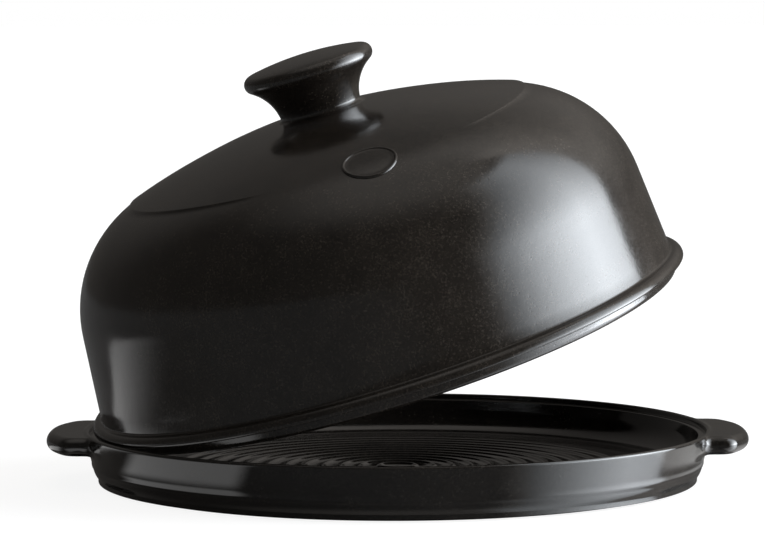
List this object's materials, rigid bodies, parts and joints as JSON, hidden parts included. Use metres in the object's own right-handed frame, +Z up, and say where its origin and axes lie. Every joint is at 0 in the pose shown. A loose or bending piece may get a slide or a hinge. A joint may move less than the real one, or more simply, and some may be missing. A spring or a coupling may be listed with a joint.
{
  "type": "bread cloche",
  "caption": "Round baking dish with lug handles and a domed lid with a knob, for baking a loaf; the lid stands tilted on the dish and closes inside its rim.",
  "frame": {"origin": "middle of the dish's flat underside, on the surface that it stands on", "axes": "+Z up, +X towards the right-hand lug handle, -Y towards the front of the picture's view"},
  "size_m": [0.34, 0.3016, 0.2119],
  "materials": {
    "dish_glaze": "glossy charcoal glaze with fine speckle",
    "lid_glaze": "satin charcoal glaze with fine speckle",
    "relief_glaze": "satin charcoal glaze, thin on the raised edge"
  },
  "bodies": {
    "base": {"dish": "dish_glaze", "left_handle": "dish_glaze", "right_handle": "dish_glaze"},
    "lid": {"dome": "lid_glaze", "knob": "lid_glaze", "medallion": "relief_glaze"}
  },
  "joints": [
    {"name": "lid_tilt", "type": "hinge", "parent": "base", "child": "lid", "pos_m": [-0.14128, -0.04239, 0.0305], "axis": [0.2874, -0.9578, 0], "range_deg": [-17.6, 42.4]}
  ]
}
